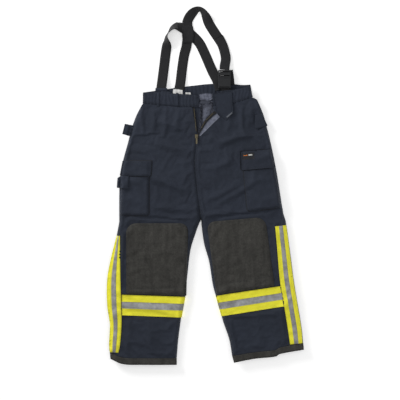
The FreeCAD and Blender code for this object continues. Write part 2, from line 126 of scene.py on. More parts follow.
class Look:
    """One procedural material: a screen colour, its variation, bump layers and wear."""

    def __init__(self, name, colour, rough=0.85, sheen=0.0, metal=0.0, specular=0.3):
        self.mat = bpy.data.materials.new(name)
        self.mat.use_nodes = True
        self.tree = self.mat.node_tree
        self.shader = self.tree.nodes["Principled BSDF"]
        for key, value in (("Roughness", rough), ("Metallic", metal), ("Sheen Weight", sheen),
                           ("Specular IOR Level", specular), ("Sheen Roughness", 0.5)):
            self.shader.inputs[key].default_value = value
        self.coords = self.add("ShaderNodeTexCoord").outputs["Object"]
        self.colour = None
        self.base = linear(*colour)
        self.normal = None

    def add(self, kind):
        return self.tree.nodes.new(kind)

    def link(self, a, b):
        self.tree.links.new(a, b)

    def texture(self, kind, scale, stretch=(1, 1, 1), turn=0.0, **inputs):
        """A procedural texture in the garment's own coordinates, scale in cycles per metre."""
        place = self.add("ShaderNodeMapping")
        place.inputs["Scale"].default_value = stretch
        place.inputs["Rotation"].default_value = (0, 0, turn)
        self.link(self.coords, place.inputs["Vector"])
        node = self.add(kind)
        self.link(place.outputs["Vector"], node.inputs["Vector"])
        node.inputs["Scale"].default_value = scale
        for key, value in inputs.items():
            node.inputs[key].default_value = value
        return node

    def ramp(self, source, low, high):
        node = self.add("ShaderNodeValToRGB")
        for stop, place, tone in zip(node.color_ramp.elements, (0.3, 0.7), (low, high)):
            stop.position = place
            stop.color = tone
        self.link(source, node.inputs["Fac"])
        return node.outputs["Color"]

    def vary(self, scale, amount, **kw):
        """Slow change of tone over the surface."""
        darker, lighter = [(1 + s * amount,) * 3 + (1,) for s in (-1, 1)]
        clouds = self.texture("ShaderNodeTexNoise", scale, Detail=4.0, **kw)
        self.tint(self.ramp(clouds.outputs[0], darker, lighter))

    def tint(self, tone):
        """Multiplies the colour so far by a tone."""
        mix = self.add("ShaderNodeMix")
        mix.data_type = "RGBA"
        mix.blend_type = "MULTIPLY"
        mix.inputs["Factor"].default_value = 1.0
        if self.colour is None:
            mix.inputs["A"].default_value = self.base
        else:
            self.link(self.colour, mix.inputs["A"])
        self.link(tone, mix.inputs["B"])
        self.colour = mix.outputs["Result"]

    def bump(self, source, distance, strength=1.0):
        node = self.add("ShaderNodeBump")
        node.inputs["Distance"].default_value = distance
        node.inputs["Strength"].default_value = strength
        self.link(source, node.inputs["Height"])
        if self.normal is not None:
            self.link(self.normal, node.inputs["Normal"])
        self.normal = node.outputs["Normal"]

    def rib(self, per_metre, turn, distance, strength):
        """Raised ribs of a weave."""
        node = self.texture("ShaderNodeTexWave", per_metre, turn=turn)
        self.bump(node.outputs["Fac"], distance, strength)

    def done(self):
        if self.colour is None:
            self.shader.inputs["Base Color"].default_value = self.base
        else:
            self.link(self.colour, self.shader.inputs["Base Color"])
        if self.normal is not None:
            self.link(self.normal, self.shader.inputs["Normal"])
        return self.mat


def shell_cloth():
    """Dark navy aramid ripstop: fine twill, a faint grid and soft creasing."""
    look = Look("navy_shell", (45, 50, 61), rough=0.85, sheen=0.05, specular=0.2)
    look.vary(9, 0.10)
    look.vary(60, 0.07)
    look.vary(900, 0.10)
    look.bump(look.texture("ShaderNodeTexNoise", 28, Detail=5.0).outputs[0], 0.004, 0.5)
    look.rib(210, turn=0.8, distance=0.00025, strength=0.35)
    look.rib(60, turn=math.pi / 2, distance=0.0002, strength=0.2)
    return look.done()


def lining_cloth():
    """Violet-grey satin face cloth of the liner."""
    look = Look("lining", (102, 106, 122), rough=0.55, sheen=0.1, specular=0.4)
    look.vary(30, 0.30)
    look.vary(80, 0.14)
    look.bump(look.texture("ShaderNodeTexNoise", 34, Detail=4.0).outputs[0], 0.009, 0.9)
    look.rib(300, turn=0.4, distance=0.0002, strength=0.3)
    return look.done()


def pad_cloth():
    """Coated charcoal reinforcement with a coarse pebble grain."""
    look = Look("charcoal_pad", (60, 59, 56), rough=0.8, sheen=0.03, specular=0.25)
    look.vary(14, 0.14)
    look.vary(120, 0.16)
    look.vary(420, 0.24)
    look.vary(60, 0.22, stretch=(1.0, 0.15, 1.0), turn=0.15)
    cells = look.texture("ShaderNodeTexVoronoi", 420)
    look.bump(cells.outputs["Distance"], 0.0006, 0.6)
    look.bump(look.texture("ShaderNodeTexNoise", 45, Detail=4.0).outputs[0], 0.004, 0.8)
    return look.done()


def webbing(name, colour, turn):
    """Woven webbing with ribs across it."""
    look = Look(name, colour, rough=0.75, sheen=0.1, specular=0.3)
    look.vary(70, 0.12)
    look.rib(170, turn=turn, distance=0.0005, strength=0.6)
    look.rib(380, turn=turn + math.pi / 2, distance=0.0003, strength=0.4)
    return look.done()


def yellow_tape():
    """Fluorescent knitted tape."""
    look = Look("yellow_trim", (250, 243, 62), rough=0.7, sheen=0.03, specular=0.2)
    look.vary(40, 0.06)
    look.vary(700, 0.08)
    look.rib(330, turn=0.6, distance=0.0002, strength=0.4)
    return look.done()


def silver_tape():
    """Retroreflective stripe: satin grey with a fine bead texture and scuffs."""
    look = Look("silver_stripe", (156, 157, 158), rough=0.5, metal=0.15, specular=0.4)
    look.vary(28, 0.24)
    look.vary(90, 0.16)
    look.vary(800, 0.10)
    look.bump(look.texture("ShaderNodeTexVoronoi", 900).outputs["Distance"], 0.0002, 0.4)
    return look.done()


def plain(name, colour, rough, metal=0.0, specular=0.4):
    """Moulded or metal finish with fine grain and worn tone."""
    look = Look(name, colour, rough=rough, metal=metal, specular=specular)
    look.vary(120, 0.10)
    look.bump(look.texture("ShaderNodeTexNoise", 600, Detail=3.0).outputs[0], 0.0002, 0.4)
    return look.done()


LOOKS = {
    "outer_shell": shell_cloth(),
    "quilted_lining": lining_cloth(),
    "reinforcement": pad_cloth(),
    "webbing": webbing("black_webbing", (33, 33, 35), 0.0),
    "yellow_trim": yellow_tape(),
    "silver_stripe": silver_tape(),
    "zip_metal": plain("zip_brass", (112, 104, 82), 0.5, metal=0.6),
    "lining_shade": plain("lining_shade", (58, 61, 73), 0.75),
    "hook_edge": plain("hook_edge", (98, 102, 110), 0.8),
    "buckle_plastic": plain("buckle_plastic", (44, 45, 47), 0.6, specular=0.2),
    "white_label": plain("white_label", (226, 226, 224), 0.7),
    "dark_label": plain("dark_label", (30, 31, 36), 0.7),
    "thread": plain("thread", (30, 33, 41), 0.7),
    "label_orange": plain("label_orange", (214, 120, 40), 0.6),
    "label_pale": plain("label_pale", (205, 205, 200), 0.6),
    # dark line: piping at the trim bands, painted shade round the pockets and flaps
    "piping_and_shade_line": webbing("dark_trim_edge_and_shade", (28, 30, 36), 0.0),
    "tape_thread": plain("tape_thread", (196, 190, 70), 0.7),
}


# ---------------------------------------------------------------- outlines

def cad_outline(node, part=0, low=False):
    """The plan outline of a CAD plate, in order, read from its highest or lowest flat face."""
    mesh = NODES[node].data
    heights = [v.co.z for v in mesh.vertices]
    top = min(heights) if low else max(heights)
    places = [(round(v.co.x, 6), round(v.co.y, 6)) for v in mesh.vertices]
    level = [abs(v.co.z - top) < 1e-5 for v in mesh.vertices]
    uses = {}
    for poly in mesh.polygons:
        if not all(level[i] for i in poly.vertices):
            continue
        for a, b in poly.edge_keys:
            key = tuple(sorted((places[a], places[b])))
            uses[key] = uses.get(key, 0) + 1
    links = {}
    for (a, b), count in uses.items():
        if count == 1 and a != b:
            links.setdefault(a, []).append(b)
            links.setdefault(b, []).append(a)
    loops = []
    left = set(links)
    while left:
        start = min(left)
        loop = [start]
        left.discard(start)
        here = start
        while True:
            ahead = [p for p in links[here] if p in left]
            if not ahead:
                break
            here = ahead[0]
            left.discard(here)
            loop.append(here)
        loops.append([Vector(p) for p in loop])
    return loops[part]


def joined_outline(upper, lower):
    """One outline from two that face each other across a narrow gap."""
    gap = 5 * MM

    def near(points, others):
        return [i for i, p in enumerate(points) if min((p - q).length for q in others) < gap]

    def opened(points, ends):
        first, second = ends[0], ends[-1]
        one = points[second:] + points[:first + 1]
        other = points[first:second + 1]
        return one if len(one) > len(other) else other

    top = opened(upper, near(upper, lower))
    low = opened(lower, near(lower, upper))
    if (top[-1] - low[0]).length > (top[-1] - low[-1]).length:
        low = low[::-1]
    return top + low


def corner_angle(a, b, c):
    return (b - a).angle(c - b, 0.0)


def resample(points, step, sharp=0.55):
    """Points at even spacing round a closed outline, curved through its gentle corners."""
    n = len(points)
    out = []
    for i in range(n):
        a, b, c, d = points[i - 1], points[i], points[(i + 1) % n], points[(i + 2) % n]
        span = (c - b).length
        if span < 1e-6:
            continue
        into = (c - a) / 2 if corner_angle(a, b, c) < sharp else (c - b)
        away = (d - b) / 2 if corner_angle(b, c, d) < sharp else (c - b)
        into = into.normalized() * span
        away = away.normalized() * span
        count = max(1, round(span / step))
        for k in range(count):
            t = k / count
            h1 = 2 * t ** 3 - 3 * t ** 2 + 1
            h2 = t ** 3 - 2 * t ** 2 + t
            h3 = -2 * t ** 3 + 3 * t ** 2
            h4 = t ** 3 - t ** 2
            out.append(b * h1 + into * h2 + c * h3 + away * h4)
    return out


def inside(p, loop):
    hit = False
    for a, b in zip(loop, loop[1:] + loop[:1]):
        if (a.y > p.y) != (b.y > p.y) and p.x < (b.x - a.x) * (p.y - a.y) / (b.y - a.y) + a.x:
            hit = not hit
    return hit


def edge_distance(p, segments):
    best = 9.0
    for a, b in segments:
        line = b - a
        size = line.length_squared
        t = 0.0 if size == 0 else max(0.0, min(1.0, (p - a).dot(line) / size))
        best = min(best, (a + line * t - p).length)
    return best


def segments_of(loop, keep=None):
    pairs = list(zip(loop, loop[1:] + loop[:1]))
    return [s for s in pairs if keep is None or keep((s[0] + s[1]) / 2)]


def filled(loop, step):
    """Plan points and triangles that fill an outline, on a staggered grid."""
    points = [p.copy() for p in loop]
    edges = [(i, (i + 1) % len(loop)) for i in range(len(loop))]
    x0, x1 = min(p.x for p in loop), max(p.x for p in loop)
    y0, y1 = min(p.y for p in loop), max(p.y for p in loop)
    rows = int((y1 - y0) / (step * 0.87)) + 1
    walls = segments_of(loop)
    for r in range(rows):
        y = y0 + r * step * 0.87
        near = [s for s in walls if min(s[0].y, s[1].y) - step < y < max(s[0].y, s[1].y) + step]
        x = x0 + (r % 2) * step / 2
        while x < x1:
            p = Vector((x, y))
            if inside(p, loop) and edge_distance(p, near) > step * 0.5:
                points.append(p)
            x += step
    verts, _, faces, *_ = geometry.delaunay_2d_cdt(points, edges, [], 1, 1e-7)
    return [Vector(v) for v in verts], [tuple(f) for f in faces]


# ---------------------------------------------------------------- meshes

def new_mesh(name, verts, faces, look):
    mesh = bpy.data.meshes.new(name)
    mesh.from_pydata([tuple(v) for v in verts], [], faces)
    mesh.update()
    obj = bpy.data.objects.new(name, mesh)
    bpy.context.scene.collection.objects.link(obj)
    mesh.materials.append(LOOKS[look])
    mesh.polygons.foreach_set("use_smooth", [True] * len(mesh.polygons))
    return obj


def tree_of(obj):
    return BVHTree.FromObject(obj, bpy.context.evaluated_depsgraph_get())


def ground(trees, x, y, default=TOP_Z):
    """The highest surface below a plan point, or the nearest edge just beside it."""
    best = None
    for tree in trees:
        hit = tree.ray_cast(Vector((x, y, ABOVE_ALL)), Vector((0, 0, -1)))[0]
        if hit is not None and (best is None or hit.z > best):
            best = hit.z
    if best is None:
        spot = Vector((x, y, TOP_Z))
        near = [tree.find_nearest(spot, EDGE_REACH)[0] for tree in trees]
        best = max((hit.z for hit in near if hit is not None), default=default)
    return best


def thickened(obj, thick, offset=-1.0):
    mod = obj.modifiers.new("thick", "SOLIDIFY")
    mod.thickness = thick
    mod.offset = offset
    apply_modifiers(obj)


def apply_modifiers(obj):
    depsgraph = bpy.context.evaluated_depsgraph_get()
    old = obj.data
    obj.data = bpy.data.meshes.new_from_object(obj.evaluated_get(depsgraph))
    obj.modifiers.clear()
    bpy.data.meshes.remove(old)
    obj.data.name = obj.name


def subdivided(obj):
    obj.modifiers.new("smooth", "SUBSURF").levels = 1
    apply_modifiers(obj)


def above_floor(obj):
    for v in obj.data.vertices:
        v.co.z = max(0.0, v.co.z)


def ridge(p, a, b, width, height):
    """A soft crease or fold from a to b, highest half way along."""
    line = b - a
    t = (p - a).dot(line) / line.length_squared
    if not 0 < t < 1:
        return 0.0
    off = (a + line * t - p).length / width
    return height * math.exp(-off * off) * math.sin(math.pi * t) ** 0.6


FOLDS = [  # from, to, half width and height in millimetres
    ((-60, -30), (-250, 60), 16, 5), ((-30, -95), (-200, -75), 13, 5),
    ((-28, -115), (-150, -128), 9, 5), ((0, -60), (150, 20), 15, 5),
    ((-5, -112), (110, -95), 10, 5), ((10, -90), (210, 30), 12, 3),
    ((-60, 120), (-190, 170), 16, 5), ((-70, 210), (-180, 255), 14, 5),
    ((40, 160), (160, 205), 16, 5), ((20, 60), (110, 100), 15, 4),
    ((-250, 300), (-236, 190), 11, 4), ((-200, 296), (-190, 200), 10, 5),
    ((-150, 296), (-158, 185), 10, 5), ((-105, 290), (-110, 205), 9, 4),
    ((90, 300), (84, 190), 11, 5), ((135, 310), (140, 200), 10, 4),
    ((170, 320), (185, 240), 9, 4), ((-45, -200), (-58, -390), 9, 5),
    ((-315, -170), (-318, -390), 8, 4), ((10, -190), (35, -380), 9, 5),
    ((262, -140), (280, -370), 8, 4), ((-100, -520), (-110, -640), 12, 5),
    ((-210, -515), (-205, -645), 18, 4), ((-290, -510), (-300, -640), 11, 4),
    ((90, -510), (115, -640), 12, 5), ((190, -490), (215, -640), 18, 4),
    ((285, -470), (305, -620), 11, 4), ((-270, -120), (-80, -130), 7, -4),
    ((30, -120), (250, -98), 7, -4), ((184, 292), (188, 192), 15, -7),
]


def creases(p):
    """All the modelled folds at a plan point, with slow unevenness."""
    total = 0.0
    for a, b, width, height in FOLDS:
        total += ridge(p, Vector(a) * MM, Vector(b) * MM, width * MM, height * MM)
    q = Vector((p.x, p.y, 0))
    slow = 2.6 * MM * noise.noise(q * 11)
    return total * 1.2 + slow + 1.2 * MM * noise.noise(q * 31 + Vector((5, 5, 5)))


def on_side(p):
    """True where the outline is a side seam or inseam, false at openings and the centre seam."""
    x, y = p.x / MM, p.y / MM
    if y > 296 or (y < -598 and (-355 < x < -112 or 107 < x < 372)):
        return False
    return not (-55 < x < 60 and y > -130)


DRAPE_FRAMES = 22
OVERSIZE = 0.035          # how much larger the cloth is than the place that it lies in
DRAPE_CAP = 11 * MM       # furthest that the simulation moves a point
DRAPE_SINK = 5 * MM       # furthest that it lowers one


def draped(obj, pinned):
    """Cloth simulation: slightly oversize cloth settles on the layers under it."""
    scene = bpy.context.scene
    base = [v.co.copy() for v in obj.data.vertices]
    under = obj.copy()
    under.data = obj.data.copy()
    scene.collection.objects.link(under)
    for v in under.data.vertices:
        v.co.z -= 4 * MM
    hard = under.modifiers.new("floor", "COLLISION")
    under.collision.thickness_outer = 1 * MM
    group = obj.vertex_groups.new(name="pins")
    for i, weight in enumerate(pinned):
        group.add([i], weight, "REPLACE")
    mod = obj.modifiers.new("cloth", "CLOTH")
    cloth = mod.settings
    cloth.quality = 6
    cloth.mass = 0.4
    cloth.tension_stiffness = 25
    cloth.compression_stiffness = 25
    cloth.shear_stiffness = 12
    cloth.bending_stiffness = 1.6
    cloth.vertex_group_mass = "pins"
    cloth.shrink_min = -OVERSIZE
    cloth.effector_weights.gravity = 0.5
    mod.collision_settings.use_self_collision = False
    mod.collision_settings.distance_min = 1 * MM
    mod.point_cache.frame_start = 1
    mod.point_cache.frame_end = DRAPE_FRAMES
    for k in range(1, DRAPE_FRAMES + 1):
        scene.frame_set(k)
    depsgraph = bpy.context.evaluated_depsgraph_get()
    moved = [v.co.copy() for v in obj.evaluated_get(depsgraph).data.vertices]
    obj.modifiers.clear()
    obj.vertex_groups.clear()
    bpy.data.objects.remove(under)
    scene.frame_set(1)
    for v, was, now in zip(obj.data.vertices, base, moved):
        shift = now - was
        if shift.length > DRAPE_CAP:
            shift *= DRAPE_CAP / shift.length
        v.co = was + shift
        v.co.z = max(v.co.z, was.z - DRAPE_SINK)


CENTRE_SEAM = [Vector(c) * MM for c in ((-31, 180), (-41, 100), (-36, 23), (-17, -134))]


def leg_outline(side, low=False):
    """Waist to hem outline of one half: the front's, or the back's where low is set."""
    layer = "back" if low else "front"
    return resample(joined_outline(cad_outline(f"{side}_{layer}_shell", low=low),
                                   cad_outline(f"{side}_shin_front_shell")), GRID)


def rounding(p, sides):
    """0 at a side seam, rising to 1 where the cloth lies flat."""
    d = min(1.0, edge_distance(p, sides) / SIDE_RIM)
    return math.sqrt(max(0.0, 1 - (1 - d) ** 2))


def front_sheet(side):
    """One half of the front, waist to hem, as one draped sheet."""
    outline = leg_outline(side)
    verts, faces = filled(outline, GRID)
    sides = segments_of(outline, on_side)
    rim = segments_of(outline)
    seam = list(zip(CENTRE_SEAM, CENTRE_SEAM[1:]))
    points = []
    pins = []
    for p in verts:
        z = MID_Z + (TOP_Z - MID_Z) * rounding(p, sides)
        free = min(1.0, edge_distance(p, rim) / (20 * MM))
        z += creases(p) * free
        z -= 5.5 * MM * math.exp(-(edge_distance(p, seam) / (5 * MM)) ** 2)
        points.append(Vector((p.x, p.y, z)))
        pins.append(1.0 if free < 0.45 else 0.0)
    obj = new_mesh(f"{side}_front", points, faces, "outer_shell")
    draped(obj, pins)
    subdivided(obj)
    return obj


def back_sheet(side):
    """One half of the back, lying on the floor, with its side edges turned up to the seams."""
    outline = leg_outline(side, low=True)
    verts, faces = filled(outline, 12 * MM)
    sides = segments_of(outline, on_side)
    points = []
    for p in verts:
        lift = 0.6 * MM + max(0.0, 2.2 * MM * noise.noise(Vector((p.x, p.y, 3)) * 16))
        z = MID_Z + (lift - MID_Z) * rounding(p, sides)
        points.append(Vector((p.x, p.y, z)))
    obj = new_mesh(f"{side}_back", points, [f[::-1] for f in faces], "outer_shell")
    thickened(obj, CLOTH_THICK)
    return obj


def settled(loop, trees, step, thick, lift, puff=0.0, rim=5 * MM, bumps=None, least=0.0):
    """Top and bottom points of a panel that lies on the surfaces below it."""
    verts, faces = filled(loop, step)
    walls = segments_of(loop)
    tops = []
    lows = []
    for p in verts:
        floor_z = max(least, ground(trees, p.x, p.y))
        d = min(1.0, edge_distance(p, walls) / rim)
        crown = math.sqrt(max(0.0, 1 - (1 - d) ** 2))
        z = floor_z + lift
        height = thick * (0.45 + 0.55 * crown) + puff * crown
        if bumps is not None:
            height += bumps(p) * crown
        lows.append(Vector((p.x, p.y, z)))
        tops.append(Vector((p.x, p.y, z + height)))
    return tops, lows, faces


def closed_panel(name, look, tops, lows, faces, edge):
    """A closed mesh from matching top and bottom points; edge is how many lie on the outline."""
    n = len(tops)
    skin = list(faces)
    skin += [tuple(i + n for i in reversed(f)) for f in faces]
    for i in range(edge):
        j = (i + 1) % edge
        skin.append((i, i + n, j + n, j))
    up = sum((tops[f[1]] - tops[f[0]]).cross(tops[f[2]] - tops[f[0]]).z for f in faces)
    if up < 0:
        skin = [tuple(reversed(f)) for f in skin]
    return new_mesh(name, tops + lows, skin, look)


def panel(name, loop, trees, look, thick=1.5 * MM, lift=0.3 * MM, step=FINE, **kw):
    """A sewn piece of cloth, tape or padding, laid over what is under it."""
    tops, lows, faces = settled(loop, trees, step, thick, lift, **kw)
    return closed_panel(name, look, tops, lows, faces, len(loop))


def placed(obj, body, slot, nodes, flat=None, area=None, padded=None):
    """Attaches a piece to the body that it rides on and hides the CAD parts that it replaces."""
    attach(obj, body)
    if nodes:
        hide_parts(*nodes)


def loop_area(loop):
    return abs(sum(a.x * b.y - b.x * a.y for a, b in segments_of(loop))) / 2


def cut_size(loop):
    """The flat size and area that a panel was cut to; a narrow tape gets none."""
    w, h = flat_size(loop)
    area = loop_area(loop)
    if area > 0.32 * w * h:
        return {"flat": (w, h), "area": area}
    long = math.hypot(w, h)
    if area / long < 11 * MM:
        return {}
    return {"flat": (area / long, long)}


def flat_size(loop):
    """Width and length of the smallest upright box round an outline."""
    xs = [p.x for p in loop]
    ys = [p.y for p in loop]
    return max(xs) - min(xs), max(ys) - min(ys)


def cloth_panel(name, node, body, slot, trees, loop=None, look=None, **kw):
    """A panel that stands for one CAD plate and hides that plate."""
    if loop is None:
        loop = resample(cad_outline(node), kw.get("step", FINE))
    obj = panel(name, loop, trees, look or slot, **kw)
    placed(obj, body, slot, [node], **cut_size(loop))
    return obj


def shrunk(loop, inset):
    """The outline moved inwards."""
    turn = 1 if sum(a.x * b.y - b.x * a.y for a, b in segments_of(loop)) > 0 else -1
    out = []
    n = len(loop)
    for i in range(n):
        a, b, c = loop[i - 1], loop[i], loop[(i + 1) % n]
        along = (c - a).normalized()
        out.append(b + Vector((-along.y, along.x)) * inset * turn)
    return out


STITCH_PITCH = 4.2 * MM


def stitched(name, path, trees, body, look="thread", closed=True, slot="outer_shell",
             size=(2.7 * MM, 1.1 * MM, 0.7 * MM)):
    """A run of thread: one short bead per stitch, lying on the cloth."""
    verts = []
    faces = []
    pairs = segments_of(path) if closed else list(zip(path, path[1:]))
    walked = 0.0
    goal = 0.0
    long, wide, high = size
    for a, b in pairs:
        span = (b - a).length
        if span < 1e-7:
            continue
        along = (b - a) / span
        side = Vector((-along.y, along.x))
        while goal < walked + span:
            p = a + along * (goal - walked)
            z = ground(trees, p.x, p.y)
            k = len(verts)
            for s, w, h in ((-0.5, 0, 0), (-0.25, 0.5, 0), (0.25, 0.5, 0), (0.5, 0, 0),
                            (0.25, -0.5, 0), (-0.25, -0.5, 0), (-0.2, 0, 1), (0.2, 0, 1)):
                q = p + along * s * long + side * w * wide
                verts.append(Vector((q.x, q.y, z + h * high)))
            faces += [(k + 1, k, k + 6), (k + 2, k + 1, k + 6, k + 7), (k + 3, k + 2, k + 7),
                      (k + 4, k + 3, k + 7), (k + 5, k + 4, k + 7, k + 6), (k, k + 5, k + 6),
                      (k, k + 1, k + 2, k + 3, k + 4, k + 5)]
            goal += STITCH_PITCH
        walked += span
    placed(new_mesh(name, verts, faces, look), body, slot, [])


def xy(*pairs):
    return [Vector((x * MM, y * MM)) for x, y in pairs]


# ---------------------------------------------------------------- the garment

camera_and_light()

fronts = {}
backs = {}
for side in ("left", "right"):
    fronts[side] = front_sheet(side)
    backs[side] = back_sheet(side)
FRONT = [tree_of(fronts[s]) for s in ("left", "right")]

for side in ("left", "right"):
    thickened(fronts[side], CLOTH_THICK)
    for obj, nodes in ((fronts[side], (f"{side}_front_shell", f"{side}_shin_front_shell")),
                       (backs[side], (f"{side}_back_shell", f"{side}_shin_back_shell"))):
        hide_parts(*nodes)
        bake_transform(obj)
        outline = leg_outline(side)
        loop_area(outline)


SEAT_SEAM_X = -17 * MM
SEAM_GAP = 0.2 * MM
LINER_INSET = 13 * MM     # the liner stays this far inside the shell's edges
LINER_Z = 3.8 * MM
LINER_FOLDS = (((-14, 320), (-10, 235)), ((22, 318), (2, 250)), ((4, 320), (-4, 250)))


def quilt(p):
    """Raised diamonds of the quilted liner, and the folds that show in the open fly."""
    u = (p.x + p.y) / (38 * MM)
    v = (p.x - p.y) / (38 * MM)
    cell = abs(math.sin(math.pi * u)) * abs(math.sin(math.pi * v))
    height = 2.2 * MM * cell ** 0.5 + 2.0 * MM * noise.noise(Vector((p.x, p.y, 1)) * 30)
    for a, b in LINER_FOLDS:
        height += ridge(p, Vector(a) * MM, Vector(b) * MM, 6 * MM, 6 * MM)
    return height


def liners():
    """Quilted liner inside the back of the seat, thighs and shins; it shows in the fly."""
    for side in ("left", "right"):
        for part, outline, node, body, step in (
            ("seat_liner", cad_outline(f"{side}_back_shell", low=True), f"{side}_liner",
             "trousers", 8 * MM),
            ("shin_lining", cad_outline(f"{side}_shin_front_shell"), f"{side}_shin_liner",
             f"{side}_lower_leg", 9 * MM),
        ):
            loop = shrunk(resample(outline, 8 * MM), LINER_INSET)
            if part == "seat_liner":
                for p in loop:
                    if abs(p.x - SEAT_SEAM_X) < 1.4 * LINER_INSET:
                        p.x = SEAT_SEAM_X + (-SEAM_GAP if side == "left" else SEAM_GAP)
            obj = panel(f"{side}_{part}", loop, [], "quilted_lining", thick=2.5 * MM,
                        lift=LINER_Z - TOP_Z, step=step, rim=6 * MM, bumps=quilt)
            placed(obj, body, "quilted_lining", [node], padded=0.2)


def soft(scale, amount, seed):
    """Slow unevenness for a panel's top."""
    def height(p):
        return amount * MM * noise.noise(Vector((p.x, p.y, seed)) * scale)
    return height


PAD_SEAM = {"left": ((-283, -392), (-104, -388)), "right": ((88, -372), (256, -344))}


def pad_relief(side, seed):
    """Wrinkles across a knee pad and the pressed-in seam near its lower edge."""
    a, b = (Vector(c) * MM for c in PAD_SEAM[side])
    waves = soft(22, 3.0, seed)
    fine = soft(60, 1.1, seed + 7)

    def height(p):
        off = edge_distance(p, [(a, b)]) / (4 * MM)
        return waves(p) + fine(p) - 2.4 * MM * math.exp(-off * off)
    return height


def knees():
    """Padded knee panels with a stitched rim and a lower cross seam."""
    pads = []
    for k, side in enumerate(("left", "right")):
        body = f"{side}_lower_leg"
        loop = resample(cad_outline(f"{side}_knee_pad"), 6 * MM)
        obj = panel(f"{side}_knee_panel", loop, FRONT, "reinforcement", thick=2.2 * MM,
                    lift=0.2 * MM, step=7 * MM, puff=4.2 * MM, rim=22 * MM,
                    bumps=pad_relief(side, k + 2))
        placed(obj, body, "reinforcement", [f"{side}_knee_pad"], padded=0.35)
        tree = tree_of(obj)
        pads.append(tree)
        for inset in (5, 9):
            stitched(f"{side}_knee_stitch_{inset}", shrunk(loop, inset * MM), [tree], body,
                     slot="reinforcement")
        seam = smooth_path([Vector(c) * MM for c in PAD_SEAM[side]], 4 * MM)
        stitched(f"{side}_knee_cross_stitch", seam, [tree], body, closed=False,
                 slot="reinforcement")
    return pads


DARK_LINE_OUT = 2.4 * MM         # how far the dark line shows beyond the piece's edge
TUCK = 5 * MM             # how far under the piece it goes at a side seam


def piped_and_shaded(node, name, body, slot, trees):
    """A dark line round a sewn piece: piping at the trim bands, painted shade along pocket and flap
    edges; drawn in where the cloth turns down at a side seam.
    """
    edge = resample(cad_outline(node), 6 * MM)
    loop = []
    for p, q in zip(shrunk(edge, -DARK_LINE_OUT), shrunk(edge, TUCK)):
        lowest = min(ground(trees, p.x + dx * MM, p.y, 0.0) for dx in (-20, 0, 20))
        loop.append(p if lowest > TOP_Z - 4 * MM else q)
    obj = panel(name, loop, trees, "piping_and_shade_line", thick=0.5 * MM, lift=0.2 * MM, step=7 * MM,
                rim=1 * MM)
    placed(obj, body, slot, [])


def reflective_trim(pads):
    """Knee bands, side strips and their silver stripes."""
    for side in ("left", "right"):
        body = f"{side}_lower_leg"
        under = FRONT + pads
        piped_and_shaded(f"{side}_knee_trim", f"{side}_knee_piping", body, "yellow_trim", under)
        band = cloth_panel(f"{side}_knee_band", f"{side}_knee_trim", body, "yellow_trim", under,
                           thick=1.1 * MM, lift=0.9 * MM, step=6 * MM, rim=2 * MM)
        lower = FRONT + [tree_of(band)]
        piped_and_shaded(f"{side}_side_trim", f"{side}_side_piping", body, "yellow_trim", lower)
        strip = cloth_panel(f"{side}_side_band", f"{side}_side_trim", body, "yellow_trim",
                            lower, thick=1.1 * MM, lift=0.9 * MM, step=6 * MM, rim=2 * MM)
        over = [tree_of(band), tree_of(strip)]
        for kind in ("knee", "side"):
            cloth_panel(f"{side}_{kind}_silver", f"{side}_{kind}_stripe", body, "silver_stripe",
                        over, thick=1.0 * MM, lift=0.3 * MM, step=4 * MM, rim=1 * MM)
        for kind, node in (("knee", f"{side}_knee_trim"), ("side", f"{side}_side_trim")):
            loop = shrunk(resample(cad_outline(node), 6 * MM), 2.2 * MM)
            stitched(f"{side}_{kind}_band_stitch", loop, over, body, look="tape_thread",
                     slot="yellow_trim", size=(2.7 * MM, 0.8 * MM, 0.5 * MM))


BAND_ROWS = 12            # cells down the band, a third of them for each strip
BAND_COLUMNS = 16         # cells across the back of the shin
BAND_CORNERS = {  # outer top, inner top, inner low, outer low
    "left": ((-362, -414), (-78, -424), (-92, -503), (-358, -492)),
    "right": ((330, -376), (40, -420), (61.5, -498), (344, -452)),
}


def back_bands():
    """The part of each knee band that goes round the inseam and across the back of the shin."""
    for side in ("left", "right"):
        body = f"{side}_lower_leg"
        out_top, in_top, in_low, out_low = (Vector(c) * MM for c in BAND_CORNERS[side])
        rows = []
        for k in range(BAND_ROWS + 1):
            t = k / BAND_ROWS
            inner = in_top.lerp(in_low, t)
            outer = out_top.lerp(out_low, t)
            row = []
            out = (inner - outer).normalized()
            turn = inner - out * 6 * MM
            for deg in (5, -20, -40, -65):
                a = math.radians(deg)
                row.append(Vector((turn.x + out.x * 7 * MM * math.cos(a),
                                   inner.y, MID_Z + 11 * MM * math.sin(a))))
            for c in range(1, BAND_COLUMNS + 1):
                q = turn.lerp(outer, c / BAND_COLUMNS)
                row.append(Vector((q.x, q.y, 0.3 * MM)))
            rows.append(row)
        w = len(rows[0])
        width = (in_top - in_low).length / 3
        length = (out_top - in_top).length + 20 * MM
        third = BAND_ROWS // 3
        for k, look in enumerate(("yellow_trim", "silver_stripe", "yellow_trim")):
            verts = [v for row in rows[k * third:(k + 1) * third + 1] for v in row]
            faces = [(i, i + 1, i + w + 1, i + w)
                     for r in range(third) for i in range(r * w, r * w + w - 1)]
            obj = new_mesh(f"{side}_back_band_{k + 1}", verts, faces, look)
            thickened(obj, 0.8 * MM, 0.0)
            above_floor(obj)
            placed(obj, body, look, [], flat=(width, length))


